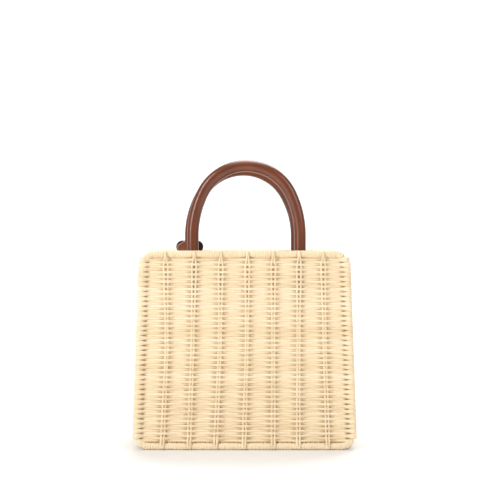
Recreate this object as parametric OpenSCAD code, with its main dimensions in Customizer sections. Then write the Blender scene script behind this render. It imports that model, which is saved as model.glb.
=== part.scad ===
// Basket box bag: two wrapped cane frames, woven walls and gusset, rolled leather handles.
// Millimetres. +Z is up, the front faces -Y, and the origin is on the table under the middle.

/* [Basket] */
// Width across the foot of a frame, outside
base_width = 220; // [180:1:280]
// Width across the rim of a frame, outside
rim_width = 206; // [170:1:270]
// Height of the rim above the table
basket_height = 195; // [150:1:250]
// Depth from the front frame to the rear frame, outside
basket_depth = 100; // [85:1:150]
// Outside radius of a frame's corners
corner_radius = 15.5; // [10:0.5:20]

/* [Rods] */
// Diameter of a frame rod with its cane wrapping
rod_d = 7.4; // [6:0.1:9]
// Diameter of the rails over the two sides
rail_d = 6.4; // [4.5:0.1:7.5]
// Depth of the flat that is pressed under a frame
foot_flat = 0.2; // [0.1:0.02:0.24]
// How much thinner the wrapping is round a bend
bend_thin = 0.3; // [0.26:0.02:0.6]
// Width of the lashing that ties a stake to a rod
lashing_w = 4.6; // [3:0.1:6]
// Thickness that a lashing adds over the rod
lashing_t = 0.35; // [0.2:0.05:0.6]

/* [Weave] */
// Height of one row of weavers
row_pitch = 2.36; // [2:0.02:4]
// Thickness of a woven wall
weave_t = 4.8; // [4:0.1:6]
// How far a weaver swings in front of a stake and behind it
weave_swing = 1.3; // [0.8:0.1:1.6]
// Depth of the groove between two rows
groove_depth = 0.9; // [0.4:0.1:1.2]
// Spaces between stakes across the front and the rear
wall_bays = 8; // [4:1:12]
// Spaces between stakes across the sides and the base
side_bays = 4; // [2:1:8]

/* [Handles] */
// Diameter of a rolled handle at its crown
handle_d = 11.2; // [9.6:0.1:13]
// How much thinner the roll is in its flanks, and again in its legs
roll_thin = 0.15; // [0.1:0.05:0.3]
// Diameter of the rope core in a handle
core_d = 7.4; // [5:0.1:8]
// Height of a handle's crown above the rim
handle_rise = 89.3; // [76:0.1:120]
// Height above the rim at which the leather flexes
flex_rise = 12.5; // [10:0.1:16]
// Height above the rim at which a leg starts to bend in
leg_rise = 14; // [13:0.1:20]
// Distance between the legs of the front handle
front_span = 106; // [90:0.1:125]
// Distance between the legs of the rear handle
rear_span = 111; // [90:0.1:125]
// Sideways place of the front handle
front_sway = 1.9; // [-6:0.1:6]
// Sideways place of the rear handle
rear_sway = -1; // [-6:0.1:6]
// Depth below the rim at which a round leg starts to flatten
round_drop = 8; // [2:0.5:14]
// Height over which a leg flattens to its tongue
throat_h = 16; // [10:0.5:24]
// Width of the flat tongue that is sewn to a tab
tongue_w = 15; // [12:0.5:20]
// Thickness of the tongue
tongue_t = 3.2; // [2:0.1:4]
// Length of the tongue below the throat
tongue_l = 24; // [16:1:40]

/* [Tabs] */
// Width of a tab's rounded head
tab_head_w = 28.6; // [24:0.1:34]
// Height of a tab's rounded head
tab_head_h = 13; // [9:0.1:18]
// Width of a tab below its head
tab_w = 25; // [20:0.1:28]
// Length of a tab from top to bottom
tab_l = 58; // [50:1:75]
// Radius of a tab's lower corners
tab_corner_r = 6; // [3:0.5:10]
// Thickness of a tab
tab_t = 1.6; // [1.2:0.1:2.2]
// Thickness of the backing between a tab and the wall
backing_t = 1.4; // [1:0.1:2]
// Sideways slip of a backing behind its tab
backing_slip = 1; // [0:0.1:2]
// Depth of the tops of three tabs below the rim
tab_drop = 3; // [1:0.5:6]
// Height of the rear left tab's top above the rim
high_tab_rise = 9.5; // [6:0.1:10]

/* [Clearances] */
// Gap between a piece and what it is seated against
seat_gap = 0.3; // [0.2:0.05:0.5]
// Gap between a handle's foot and the leg end that holds it
flex_gap = 0.6; // [0.4:0.05:0.9]

/* [Hidden] */
$fn = 48;

// Part of the half span that the crown's radius takes
crown_share = 0.91;
// Part of the handle's radius that the rope reaches below the hinge
core_end_share = 0.66;
// The gusset's sides meet its base halfway round a foot corner
gusset_seam_angle = -45;

cane = [0.94, 0.84, 0.63];
weaver_cane = [0.97, 0.87, 0.66];
leather = [0.45, 0.24, 0.16];
rope = [0.86, 0.82, 0.74];

// Length that a thinner piece of a rod or a roll runs on into a thicker one
lap = 2 * seat_gap;

// Frame outline, in the plane of a frame
rod_r = rod_d / 2;
bend_r = corner_radius - rod_r;
frame_y = basket_depth / 2 - rod_r;
side_tilt = atan((base_width - rim_width) / 2 / (basket_height + foot_flat));

// Half width of the outline at height z, drawn in by a distance square to the side
function inset_x(inset, z) =
    base_width / 2 - (inset + (z + foot_flat) * sin(side_tilt)) / cos(side_tilt);

foot_arc_z = corner_radius - foot_flat;
rim_arc_z = basket_height - corner_radius;
foot_arc_x = inset_x(corner_radius, foot_arc_z);
rim_arc_x = inset_x(corner_radius, rim_arc_z);
foot_rod_z = rod_r - foot_flat;
rim_rod_z = basket_height - rod_r;

// Levels of the weave: even levels are grooves, odd levels are the crests of the rows
crest_depth = weave_t / 2 - weave_swing;
function weave_depth(level, stake, bays) =
    level % 2 == 0 || stake == 0 || stake == bays ? crest_depth - groove_depth
    : crest_depth + (((level - 1) / 2 + stake) % 2 == 0 ? weave_swing : -weave_swing);

// Front and rear walls
wall_low_z = foot_rod_z + rod_r + lashing_t + seat_gap;
wall_high_z = rim_rod_z - rod_r - lashing_t - seat_gap;
wall_rows = floor((wall_high_z - wall_low_z) / row_pitch);
wall_step = (wall_high_z - wall_low_z) / wall_rows / 2;
cut_levels = 2 * ceil((corner_radius - rod_d) / wall_step / 2);

// Sides of the gusset: an arc round the foot corner, then a straight run up to the rail
seam_half_angle = seat_gap / bend_r * 90 / PI;
side_start_angle = gusset_seam_angle + seam_half_angle;
side_arc_l = bend_r * (side_tilt - side_start_angle) * PI / 180;
side_run_l = norm([foot_arc_x - rim_arc_x, rim_arc_z - foot_arc_z]);
side_rows = floor((side_arc_l + side_run_l) / row_pitch);
side_step = (side_arc_l + side_run_l) / side_rows / 2;

// Base of the gusset, with both ends turned up to the seams
base_half_l = foot_arc_x + bend_r * (90 + gusset_seam_angle - seam_half_angle) * PI / 180;
base_rows = floor(2 * base_half_l / row_pitch);
base_step = base_half_l / base_rows;
gusset_half = frame_y - rod_r - seat_gap;

// Rails over the sides
rail_angle = side_tilt + 2 * asin((rail_d / 2 + seat_gap) / (2 * bend_r));

// Handles
handle_r = handle_d / 2;
leg_r = handle_r - 2 * roll_thin;
core_r = core_d / 2;
core_gap = seat_gap / 2;
backing_y = frame_y - rod_r - lashing_t - seat_gap;
tab_y = backing_y - backing_t;
tongue_y = tab_y - tab_t;
leg_y = tongue_y - seat_gap - leg_r;
crown_h = handle_rise - handle_r;
function crown_r(span) = crown_share * span / 2;
function flank_h(span) = crown_h - crown_r(span) - leg_rise;
function flank_r(span) =
    (pow(span / 2, 2) + pow(flank_h(span), 2) - pow(crown_r(span), 2)) / (span - 2 * crown_r(span));
function flank_angle(span) = atan2(flank_h(span), flank_r(span) - span / 2);

// Leg ends
flex_z = basket_height + flex_rise;
throat_top_z = basket_height - round_drop;
tongue_top_z = throat_top_z - throat_h;

// Tabs
tab_top_z = basket_height - tab_drop;
high_tab_top_z = basket_height + high_tab_rise;
front_left_x = front_sway - front_span / 2;
front_right_x = front_sway + front_span / 2;
rear_left_x = rear_sway - rear_span / 2;
rear_right_x = rear_sway + rear_span / 2;

// Round rod bent in the XZ plane about its origin
module bent_rod(bend, radius, start, angle) {
    rotate([90, 0, 0])
        rotate([0, 0, start])
            rotate_extrude(angle = angle)
                translate([bend, 0])
                    circle(r = radius);
}

// Straight round rod between two points
module straight_rod(from, to, radius) {
    run = to - from;
    translate(from)
        rotate([0, atan2(norm([run.x, run.y]), run.z), atan2(run.y, run.x)])
            cylinder(h = norm(run), r = radius);
}

// One frame in the XZ plane: a wrapped rod round the wall, lashed to each stake along the rim
module frame_ring() {
    side_out = bend_r * [cos(side_tilt), 0, sin(side_tilt)];
    lap_angle = lap / bend_r * 180 / PI;
    straight_rod([-foot_arc_x, 0, foot_rod_z], [foot_arc_x, 0, foot_rod_z], rod_r);
    straight_rod([-rim_arc_x, 0, rim_rod_z], [rim_arc_x, 0, rim_rod_z], rod_r);
    for (stake = [1 : wall_bays - 1])
        translate([(2 * stake / wall_bays - 1) * inset_x(rod_r, rim_rod_z), 0, rim_rod_z])
            rotate([0, 90, 0])
                cylinder(h = lashing_w, r = rod_r + lashing_t, center = true);
    for (side = [0, 1])
        mirror([side, 0, 0]) {
            straight_rod(
                [foot_arc_x, 0, foot_arc_z] + side_out,
                [rim_arc_x, 0, rim_arc_z] + side_out,
                rod_r
            );
            translate([foot_arc_x, 0, foot_arc_z])
                bent_rod(bend_r, rod_r - bend_thin, -90 - lap_angle, 90 + side_tilt + 2 * lap_angle);
            translate([rim_arc_x, 0, rim_arc_z])
                bent_rod(bend_r, rod_r - bend_thin, side_tilt - lap_angle, 90 - side_tilt + 2 * lap_angle);
        }
}

// A frame with the flat that it stands on
module standing_frame() {
    color(cane)
        difference() {
            frame_ring();
            translate([-base_width / 2, -rod_d, -rod_d])
                cube([base_width, 2 * rod_d, rod_d]);
        }
}

module front_frame() {
    translate([0, -frame_y, 0])
        standing_frame();
}

module rear_frame() {
    translate([0, frame_y, 0])
        standing_frame();
}

// Woven sheet over one, under one. Each level is [centre, outward direction, half width of the
// sheet, half width of the stakes' spacing]. The back is plain and turns only at the folds.
module woven_sheet(levels, folds, across, bays) {
    last = len(levels) - 1;
    front_count = (last + 1) * (bays + 1);
    function outer(level, stake) = level * (bays + 1) + stake;
    function inner(fold, edge) = front_count + 2 * fold + edge;
    function stake_x(level, stake) =
        stake == 0 ? -level[2]
        : stake == bays ? level[2]
        : (2 * stake / bays - 1) * level[3];
    outer_points = [
        for (i = [0 : last])
            for (stake = [0 : bays])
                levels[i][0] + stake_x(levels[i], stake) * across
                    + weave_depth(i, stake, bays) * levels[i][1]
    ];
    inner_points = [
        for (i = folds)
            for (edge = [-1, 1])
                levels[i][0] + edge * levels[i][2] * across - weave_t / 2 * levels[i][1]
    ];
    rows = [
        for (i = [0 : last - 1])
            for (stake = [0 : bays - 1])
                for (lower = [true, false])
                    lower
                        ? [outer(i, stake), outer(i + 1, stake), outer(i + 1, stake + 1)]
                        : [outer(i, stake), outer(i + 1, stake + 1), outer(i, stake + 1)]
    ];
    backs = [
        for (fold = [0 : len(folds) - 2])
            [inner(fold, 0), inner(fold, 1), inner(fold + 1, 1), inner(fold + 1, 0)]
    ];
    left_edges = [
        for (fold = [0 : len(folds) - 2])
            concat(
                [inner(fold, 0), inner(fold + 1, 0)],
                [for (i = [folds[fold + 1] : -1 : folds[fold]]) outer(i, 0)]
            )
    ];
    right_edges = [
        for (fold = [0 : len(folds) - 2])
            concat(
                [inner(fold + 1, 1), inner(fold, 1)],
                [for (i = [folds[fold] : folds[fold + 1]]) outer(i, bays)]
            )
    ];
    last_fold = len(folds) - 1;
    first_end = concat(
        [for (stake = [0 : bays - 1]) [outer(0, stake), outer(0, stake + 1), inner(0, 0)]],
        [[outer(0, bays), inner(0, 1), inner(0, 0)]]
    );
    last_end = concat(
        [
            for (stake = [0 : bays - 1])
                [outer(last, stake + 1), outer(last, stake), inner(last_fold, 1)]
        ],
        [[outer(last, 0), inner(last_fold, 0), inner(last_fold, 1)]]
    );
    polyhedron(
        points = concat(outer_points, inner_points),
        faces = concat(rows, backs, left_edges, right_edges, first_end, last_end)
    );
}

// Front wall about the frame's plane, with corners cut back to clear the bends of the frame
module wall_weave() {
    last = 2 * wall_rows;
    function corner_cut(i) = wall_step * max(0, cut_levels - i, cut_levels - last + i);
    function wall_level(i) =
        let (z = wall_low_z + i * wall_step)
        [
            [0, 0, z],
            [0, -1, 0],
            inset_x(rod_d + seat_gap, z) - corner_cut(i),
            inset_x(rod_r, z)
        ];
    color(weaver_cane)
        woven_sheet(
            levels = [for (i = [0 : last]) wall_level(i)],
            folds = [0, cut_levels, last - cut_levels, last],
            across = [1, 0, 0],
            bays = wall_bays
        );
}

module front_weave() {
    translate([0, -frame_y, 0])
        wall_weave();
}

module rear_weave() {
    mirror([0, 1, 0])
        front_weave();
}

// Right side of the gusset, from the seam round the foot corner to the rail
module side_weave() {
    last = 2 * side_rows;
    arc_levels = ceil(side_arc_l / side_step);
    side_out = [cos(side_tilt), 0, sin(side_tilt)];
    side_up = [-sin(side_tilt), 0, cos(side_tilt)];
    foot_arc = [foot_arc_x, 0, foot_arc_z];
    function side_level(i) =
        let (
            run = i * side_step,
            angle = side_start_angle + run / bend_r * 180 / PI,
            on_arc = run < side_arc_l,
            out = on_arc ? [cos(angle), 0, sin(angle)] : side_out,
            climb = on_arc ? 0 : run - side_arc_l
        )
        [foot_arc + bend_r * out + climb * side_up, out, gusset_half, frame_y];
    color(weaver_cane)
        woven_sheet(
            levels = [for (i = [0 : last]) side_level(i)],
            folds = concat([for (i = [0 : arc_levels]) i], [last]),
            across = [0, 1, 0],
            bays = side_bays
        );
}

module right_side_weave() {
    side_weave();
}

module left_side_weave() {
    mirror([1, 0, 0])
        side_weave();
}

// Base of the gusset between the two seams
module base_weave() {
    last = 2 * base_rows;
    function run(i) = i * base_step - base_half_l;
    function base_level(i) =
        let (
            end = sign(run(i)),
            flat_x = min(abs(run(i)), foot_arc_x),
            turn = (abs(run(i)) - flat_x) / bend_r * 180 / PI,
            out = [end * sin(turn), 0, -cos(turn)]
        )
        [[end * flat_x, 0, foot_arc_z] + bend_r * out, out, gusset_half, frame_y];
    color(weaver_cane)
        woven_sheet(
            levels = [for (i = [0 : last]) base_level(i)],
            folds = [for (i = [0 : last]) if (abs(run(i)) > foot_arc_x - base_step) i],
            across = [0, 1, 0],
            bays = side_bays
        );
}

// Wrapped rail over one side, between the frames
module top_rail() {
    color(cane)
        translate([rim_arc_x, 0, rim_arc_z] + bend_r * [cos(rail_angle), 0, sin(rail_angle)])
            rotate([90, 0, 0])
                cylinder(h = 2 * gusset_half, r = rail_d / 2, center = true);
}

module right_top_rail() {
    top_rail();
}

module left_top_rail() {
    mirror([1, 0, 0])
        top_rail();
}

// Arch of a handle, measured from the height of the rim, its legs running down to low
module arch(span, radius, low) {
    flank_lap = lap / flank_r(span) * 180 / PI;
    translate([0, 0, crown_h - crown_r(span)])
        bent_rod(crown_r(span), radius, flank_angle(span), 180 - 2 * flank_angle(span));
    for (side = [0, 1])
        mirror([side, 0, 0]) {
            translate([span / 2 - flank_r(span), 0, leg_rise])
                bent_rod(flank_r(span), radius - roll_thin, 0, flank_angle(span) + flank_lap);
            translate([span / 2, 0, low])
                cylinder(h = leg_rise + lap - low, r = radius - 2 * roll_thin);
        }
}

// Rolled leather, round at its feet and open where the rope goes in
module rolled_cover(span) {
    color(leather)
        difference() {
            union() {
                arch(span, handle_r, flex_rise);
                for (side = [-1, 1])
                    translate([side * span / 2, 0, flex_rise])
                        sphere(r = leg_r - roll_thin);
            }
            arch(span, core_r + core_gap, flex_rise - handle_d);
        }
}

// Rope that fills a roll
module rope_core(span) {
    color(rope)
        arch(span, core_r, flex_rise - core_end_share * leg_r);
}

module front_handle_cover() {
    translate([front_sway, -leg_y, basket_height])
        rolled_cover(front_span);
}

module rear_handle_cover() {
    translate([rear_sway, leg_y, basket_height])
        rolled_cover(rear_span);
}

module front_handle_core() {
    translate([front_sway, -leg_y, basket_height])
        rope_core(front_span);
}

module rear_handle_core() {
    translate([rear_sway, leg_y, basket_height])
        rope_core(rear_span);
}

// Fixed end of a rear leg: round up to the flex point, flattened to a tongue on its tab
module leg_end(x) {
    color(leather)
        translate([x, 0, 0]) {
            difference() {
                translate([0, leg_y, throat_top_z])
                    cylinder(h = flex_z - throat_top_z, r = leg_r);
                translate([0, leg_y, flex_z])
                    sphere(r = leg_r + flex_gap);
            }
            hull() {
                translate([0, leg_y, throat_top_z - tongue_t])
                    cylinder(h = tongue_t, r = leg_r);
                translate([-tongue_w / 2, tongue_y - tongue_t, tongue_top_z])
                    cube([tongue_w, tongue_t, tongue_t]);
            }
            translate([0, tongue_y, tongue_top_z - tongue_l + tongue_w / 2])
                rotate([90, 0, 0])
                    linear_extrude(tongue_t) {
                        translate([-tongue_w / 2, 0])
                            square([tongue_w, tongue_l - tongue_w / 2]);
                        circle(d = tongue_w);
                    }
        }
}

module rear_left_leg_end() {
    leg_end(rear_left_x);
}

module rear_right_leg_end() {
    leg_end(rear_right_x);
}

module front_left_leg_end() {
    mirror([0, 1, 0])
        leg_end(front_left_x);
}

module front_right_leg_end() {
    mirror([0, 1, 0])
        leg_end(front_right_x);
}

// Outline of a tab below its top, which is at the origin: an oval head over a straight body
module tab_outline() {
    head_r = tab_head_h / 2;
    head_x = tab_head_w / 2 - head_r;
    corner_x = tab_w / 2 - tab_corner_r;
    translate([-head_x, -tab_head_h])
        square([2 * head_x, tab_head_h]);
    for (side = [-1, 1]) {
        translate([side * head_x, -head_r])
            circle(r = head_r);
        translate([side * corner_x, tab_corner_r - tab_l])
            circle(r = tab_corner_r);
    }
    translate([-tab_w / 2, tab_corner_r - tab_l])
        square([tab_w, tab_l - tab_corner_r - head_r]);
    translate([-corner_x, -tab_l])
        square([2 * corner_x, tab_corner_r]);
}

// One leather layer inside the rear wall, with its wall face at y
module tab_layer(x, y, top_z, thickness) {
    color(leather)
        translate([x, y, top_z])
            rotate([90, 0, 0])
                linear_extrude(thickness)
                    tab_outline();
}

module rear_left_tab() {
    tab_layer(rear_left_x, tab_y, high_tab_top_z, tab_t);
}

module rear_right_tab() {
    tab_layer(rear_right_x, tab_y, tab_top_z, tab_t);
}

module front_left_tab() {
    mirror([0, 1, 0])
        tab_layer(front_left_x, tab_y, tab_top_z, tab_t);
}

module front_right_tab() {
    mirror([0, 1, 0])
        tab_layer(front_right_x, tab_y, tab_top_z, tab_t);
}

module rear_left_backing() {
    tab_layer(rear_left_x - backing_slip, backing_y, high_tab_top_z, backing_t);
}

module rear_right_backing() {
    tab_layer(rear_right_x + backing_slip, backing_y, tab_top_z, backing_t);
}

module front_left_backing() {
    mirror([0, 1, 0])
        tab_layer(front_left_x - backing_slip, backing_y, tab_top_z, backing_t);
}

module front_right_backing() {
    mirror([0, 1, 0])
        tab_layer(front_right_x + backing_slip, backing_y, tab_top_z, backing_t);
}

front_frame();
rear_frame();
front_weave();
rear_weave();
left_side_weave();
right_side_weave();
base_weave();
left_top_rail();
right_top_rail();
front_handle_cover();
rear_handle_cover();
front_handle_core();
rear_handle_core();
front_left_leg_end();
front_right_leg_end();
rear_left_leg_end();
rear_right_leg_end();
front_left_tab();
front_right_tab();
rear_left_tab();
rear_right_tab();
front_left_backing();
front_right_backing();
rear_left_backing();
rear_right_backing();
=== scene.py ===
# %% [markdown]
# # A basket box bag in woven cane and rolled leather
#
# The real bag is made of strands: thin cane weavers that pass in front of one pair of
# stakes and behind the next, wrapped rods round the edges, and two leather rolls for
# handles. A texture on flat panels would look flat from the side and at the edges, so each
# strand here is a swept tube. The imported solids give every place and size.

import math

import bpy
import numpy as np
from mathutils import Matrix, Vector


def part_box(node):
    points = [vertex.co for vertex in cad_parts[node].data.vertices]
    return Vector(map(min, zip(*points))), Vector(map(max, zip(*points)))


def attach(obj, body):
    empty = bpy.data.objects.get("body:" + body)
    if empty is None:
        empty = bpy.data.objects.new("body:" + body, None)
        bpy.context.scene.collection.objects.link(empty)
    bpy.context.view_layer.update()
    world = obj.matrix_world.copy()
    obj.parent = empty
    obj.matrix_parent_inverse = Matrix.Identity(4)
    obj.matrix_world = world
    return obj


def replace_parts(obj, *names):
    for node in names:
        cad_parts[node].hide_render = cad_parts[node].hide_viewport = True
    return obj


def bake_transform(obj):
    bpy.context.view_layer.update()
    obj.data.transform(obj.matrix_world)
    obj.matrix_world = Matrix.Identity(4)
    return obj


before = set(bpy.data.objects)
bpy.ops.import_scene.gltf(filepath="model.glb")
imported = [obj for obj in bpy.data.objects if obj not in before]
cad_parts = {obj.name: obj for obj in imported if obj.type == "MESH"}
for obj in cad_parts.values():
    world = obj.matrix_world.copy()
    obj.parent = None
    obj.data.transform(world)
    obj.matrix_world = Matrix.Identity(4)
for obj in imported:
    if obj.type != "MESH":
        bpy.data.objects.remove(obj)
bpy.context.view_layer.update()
MM = 0.001

# %% [markdown]
# ## Sizes
#
# The imported nodes carry the sizes: the frame's box gives the basket's height and the
# planes of the two walls, and the woven wall's box gives the first and the last row. The slant
# of the sides is a size that a box can't show, so the two widths of the trapezoid are named
# here.

# %% Basket sizes
ROD_R = 3.7 * MM
BASE_W = 220 * MM
RIM_W = 206 * MM
CORNER_R = 15.5 * MM
LASHING_T = 0.35 * MM
FOOT_FLAT = 0.2 * MM

frame_low, frame_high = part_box("front_frame")
wall_low, wall_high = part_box("front_weave")
rim_z = frame_high[2] - LASHING_T
wall_y = abs(frame_low[1] + frame_high[1]) / 2
bend_r = CORNER_R - ROD_R
slant = math.atan((BASE_W - RIM_W) / 2 / (rim_z + FOOT_FLAT))
print("rim at", round(rim_z / MM, 1), "mm, wall planes at y = +-", round(wall_y / MM, 1), "mm")

# %% [markdown]
# ## Outline of the frames
#
# From the front, each frame is a trapezoid with round corners. A curve object could draw it,
# but every row of the weave has to know how far it reaches at its own height. So the outline
# is written as a half width for each height.

# %% Half width at a height


def side_x(inset, z):
    """Half width of the frame's outline at height z, drawn in square to the side."""
    drop = (z + FOOT_FLAT) * math.sin(slant)
    return BASE_W / 2 - (inset + drop) / math.cos(slant)


foot_arc_z = CORNER_R - FOOT_FLAT
rim_arc_z = rim_z - CORNER_R
foot_rod_z = ROD_R - FOOT_FLAT
rim_rod_z = rim_z - ROD_R
foot_arc_x = side_x(CORNER_R, foot_arc_z)
rim_arc_x = side_x(CORNER_R, rim_arc_z)


def frame_x(z):
    """Half width to the middle of the frame's rod at height z, bends included."""
    if z < foot_arc_z:
        return foot_arc_x + math.sqrt(bend_r**2 - (foot_arc_z - z) ** 2)
    if z > rim_arc_z:
        return rim_arc_x + math.sqrt(bend_r**2 - (z - rim_arc_z) ** 2)
    return side_x(ROD_R, z)


def bend_stretch(z):
    """How much wider a level cut through the frame's rod is inside a bend."""
    rise = max(foot_arc_z - z, z - rim_arc_z, 0) / bend_r
    return 1 / math.sqrt(1 - rise**2)


print("half width at mid height:", round(frame_x(rim_z / 2) / MM, 1), "mm")

# %% [markdown]
# ## Strands as meshes
#
# A curve object with a bevel would give round strands only. Cane is flat-oval and gets
# wider where it is pressed over a stake, so a small sweep writes the rings itself: each
# point of a path gets an oval ring, wide along one given direction and thin across it.
# Both ends are closed, so that each strand is a solid body.

# %% Sweep


def tube_faces(rings, sides):
    """Four-sided faces of a tube with an even number of sides, closed at both ends."""
    i = np.arange(rings - 1)[:, None] * sides
    j = np.arange(sides)[None, :]
    k = (j + 1) % sides
    skin = np.stack([i + j, i + k, i + sides + k, i + sides + j], -1).reshape(-1, 4)
    n = np.arange(sides // 2 - 1)
    cap = np.stack([n, n + 1, sides - 2 - n, sides - 1 - n], -1)
    return np.concatenate([skin, cap[:, ::-1], cap + (rings - 1) * sides])


def sweep(path, wide, thick, across, sides=8):
    """Oval tube along a path: vertices and four-sided faces."""
    path = np.asarray(path, float)
    count = len(path)
    along = np.gradient(path, axis=0)
    along /= np.linalg.norm(along, axis=1)[:, None]
    across = np.broadcast_to(np.asarray(across, float), path.shape)
    across = across - (across * along).sum(1)[:, None] * along
    across /= np.linalg.norm(across, axis=1)[:, None]
    out = np.cross(along, across)
    turn = np.arange(sides) * 2 * math.pi / sides
    wide = np.broadcast_to(wide, count)[:, None, None]
    thick = np.broadcast_to(thick, count)[:, None, None]
    ring = (
        wide * np.cos(turn)[None, :, None] * across[:, None, :]
        + thick * np.sin(turn)[None, :, None] * out[:, None, :]
    )
    return (path[:, None, :] + ring).reshape(-1, 3), tube_faces(count, sides)


print("a strand of three rings with eight sides has", len(tube_faces(3, 8)), "faces")

# %% [markdown]
# One object for each strand would make a slow scene with hundreds of objects. All strands of
# a wall go into one mesh through numpy instead. Each strand keeps a random tone of its own,
# which the material reads, so that neighbours differ as lengths of cane do. The seed is fixed,
# so that every run weaves the same bag.

# %% One mesh from many strands
SEED = 27
rng = np.random.default_rng(SEED)


def join_strands(strands):
    """Vertices, faces and one random tone per strand, ready for one mesh."""
    verts, faces, tones, start = [], [], [], 0
    for v, f in strands:
        verts.append(v)
        faces.append(f + start)
        tones.append(np.full(len(v), rng.random()))
        start += len(v)
    return np.concatenate(verts), np.concatenate(faces), np.concatenate(tones)


def strand_piece(name, strands, material, body="basket", extra=(), thread=None):
    """One smooth-shaded object from many strands, riding on a body.

    Strands in extra join the same mesh and take the thread material."""
    verts, faces, tones = join_strands(list(strands) + list(extra))
    mesh = bpy.data.meshes.new(name)
    mesh.from_pydata(verts.tolist(), [], faces.tolist())
    mesh.polygons.foreach_set("use_smooth", [True] * len(mesh.polygons))
    tone = mesh.attributes.new("tone", "FLOAT", "POINT")
    tone.data.foreach_set("value", tones.astype(np.float32))
    mesh.materials.append(material)
    if thread:
        mesh.materials.append(thread)
        first = sum(len(f) for v, f in strands)
        marks = [int(n >= first) for n in range(len(faces))]
        mesh.polygons.foreach_set("material_index", marks)
    piece = bpy.data.objects.new(name, mesh)
    bpy.context.collection.objects.link(piece)
    print(name, "has", len(strands), "strands and", len(faces), "faces")
    if body:
        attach(piece, body)
    return piece


print("tones and small drifts are drawn from seed", SEED)

# %% [markdown]
# ## Colours and nodes
#
# Colours are written as the sRGB hex values that an eye would pick from the real thing.
# Blender works in linear light, so one function converts them. Another adds a node with its
# settings, links and colour steps, which keeps each material short enough to read.

# %% Material helpers


def linear(hex_colour):
    """Linear RGBA from an sRGB hex string."""
    parts = [int(hex_colour[i : i + 2], 16) / 255 for i in (1, 3, 5)]
    return [c / 12.92 if c <= 0.04045 else ((c + 0.055) / 1.055) ** 2.4 for c in parts] + [1]


def new_material(name):
    """A material with its node tree and its shader, already linked to the output."""
    material = bpy.data.materials.new(name)
    material.use_nodes = True
    tree = material.node_tree
    return material, tree, tree.nodes["Principled BSDF"]


def add_node(tree, kind, inputs=None, links=None, steps=(), **settings):
    """Adds a node, sets its settings, inputs and (position, hex) steps, and links sockets in."""
    node = tree.nodes.new(kind)
    for key, value in settings.items():
        setattr(node, key, value)
    for key, value in (inputs or {}).items():
        node.inputs[key].default_value = value
    for key, socket in (links or {}).items():
        tree.links.new(socket, node.inputs[key])
    if steps:
        stops = node.color_ramp.elements
        while len(stops) < len(steps):
            stops.new(0.5)
        for stop, (position, hex_colour) in zip(stops, steps):
            stop.position = position
            stop.color = linear(hex_colour)
    return node


print("mid grey #808080 is", round(linear("#808080")[0], 3), "in linear light")

# %% [markdown]
# ## Cane
#
# Peeled cane is pale straw with a soft satin skin. Each length differs a little in tone, and
# fine fibres run along it. A picture of cane would repeat and would stretch over the bends.
# Here the tone comes from the strand's own attribute, a slow noise adds the mottling of a
# grown plant, and a noise that is stretched along the strands draws the fibres. IOR 1.5 is
# typical of waxy plant skin.

# %% Cane finish
# Real fibres are about 0.3 mm wide. That is too fine to show here, so they are drawn coarser.
FIBRE_W = 1.1 * MM
FIBRE_DEPTH = 0.1 * MM
FIBRE_BUMP = 0.25
FIBRE_LONG = 0.06
MOTTLE_W = 14 * MM
CANE_ROUGHNESS = 0.58
CANE_IOR = 1.5


def cane_material(name, steps, fibre_stretch):
    """Satin cane: strand tones, slow mottling and fibres along the strand."""
    material, tree, skin = new_material(name)
    place = add_node(tree, "ShaderNodeTexCoord").outputs["Object"]
    tone = add_node(tree, "ShaderNodeAttribute", attribute_name="tone").outputs["Fac"]
    mottle = add_node(
        tree, "ShaderNodeTexNoise", {"Scale": 1 / MOTTLE_W, "Detail": 3}, {"Vector": place}
    ).outputs["Fac"]
    stretched = add_node(
        tree, "ShaderNodeMapping", {"Scale": fibre_stretch}, {"Vector": place}
    ).outputs["Vector"]
    fibre = add_node(
        tree, "ShaderNodeTexNoise", {"Scale": 1 / FIBRE_W, "Detail": 2}, {"Vector": stretched}
    ).outputs["Fac"]
    grown = add_node(
        tree, "ShaderNodeMath", links={0: mottle, 1: fibre}, operation="ADD"
    ).outputs[0]
    summed = add_node(tree, "ShaderNodeMath", links={0: tone, 1: grown}, operation="ADD").outputs[0]
    shade = add_node(
        tree, "ShaderNodeMath", {1: 1 / 3}, {0: summed}, operation="MULTIPLY"
    ).outputs[0]
    colour = add_node(tree, "ShaderNodeValToRGB", links={"Fac": shade}, steps=steps)
    tree.links.new(colour.outputs["Color"], skin.inputs["Base Color"])
    bump = add_node(
        tree, "ShaderNodeBump", {"Strength": FIBRE_BUMP, "Distance": FIBRE_DEPTH}, {"Height": fibre}
    )
    tree.links.new(bump.outputs["Normal"], skin.inputs["Normal"])
    skin.inputs["Roughness"].default_value = CANE_ROUGHNESS
    skin.inputs["IOR"].default_value = CANE_IOR
    return material


print("fibres", round(FIBRE_W / MM, 1), "mm wide, mottling", round(MOTTLE_W / MM), "mm")

# %% Cane materials
# Peeled and woven: soft light on rounded strands, with a tone for each, so that single rows
# can be told apart. The fibres run along X in the walls and along Y in the gusset.
CANE_STEPS = [(0.2, "#E9CFA5"), (0.5, "#F4DEB9"), (0.8, "#FDEACC")]
weaver_cane = cane_material("Peeled cane, woven along X", CANE_STEPS, (FIBRE_LONG, 1, 1))
gusset_cane = cane_material("Peeled cane, woven along Y", CANE_STEPS, (1, FIBRE_LONG, 1))

# Split and wound: the strips show more of the duller inside of the cane, so the rim and the
# foot are a shade deeper than the weave.
WRAP_STEPS = [(0.2, "#E6CBA0"), (0.5, "#F2DBB5"), (0.8, "#FCE8C8")]
wrap_cane = cane_material("Split cane, wrapped", WRAP_STEPS, (1, 1, 1))
print("cane materials:", weaver_cane.name, "|", gusset_cane.name, "|", wrap_cane.name)

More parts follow.
